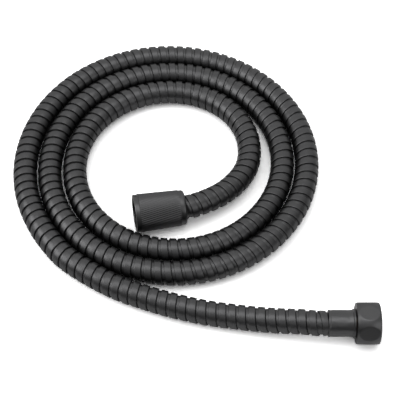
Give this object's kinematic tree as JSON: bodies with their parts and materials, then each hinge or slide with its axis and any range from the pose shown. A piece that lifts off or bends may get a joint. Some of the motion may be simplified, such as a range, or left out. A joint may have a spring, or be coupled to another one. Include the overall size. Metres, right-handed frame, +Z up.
{
  "type": "shower hose",
  "caption": "Flexible strip-wound metal shower hose lying in a loose flat coil, with a swivelling knurled cone nut at one end and a swivelling hexagon nut at the other.",
  "frame": {"origin": "on the floor, at the middle of the box round the two end fittings", "axes": "+Z up; +X along the hexagon nut's axis, out of its mouth; +Y from the hexagon nut towards the coil"},
  "size_m": [0.2199, 0.2268, 0.0241],
  "materials": {
    "jacket_strip": "satin black, faintly brushed along the winding",
    "nut_finish": "satin black",
    "ferrule_finish": "satin black",
    "insert_brass": "turned brass",
    "tube_rubber": "matt",
    "washer_rubber": "matt"
  },
  "bodies": {
    "hose": {"hose_jacket": "jacket_strip", "inner_tube": "tube_rubber", "cone_insert": "insert_brass", "cone_ferrule": "ferrule_finish", "cone_washer": "washer_rubber", "hex_insert": "insert_brass", "hex_ferrule": "ferrule_finish", "hex_washer": "washer_rubber"},
    "cone_nut": {"cone_nut": "nut_finish"},
    "hex_nut": {"hex_nut": "nut_finish"}
  },
  "joints": [
    {"name": "cone_nut_spin", "type": "hinge", "parent": "hose", "child": "cone_nut", "pos_m": [-0.05994, 0.03825, 0.01156], "axis": [-0.9827, -0.1821, 0.0321], "continuous": true},
    {"name": "hex_nut_spin", "type": "hinge", "parent": "hose", "child": "hex_nut", "pos_m": [0.0617, -0.0398, 0.01205], "axis": [1, 0, 0], "continuous": true}
  ]
}
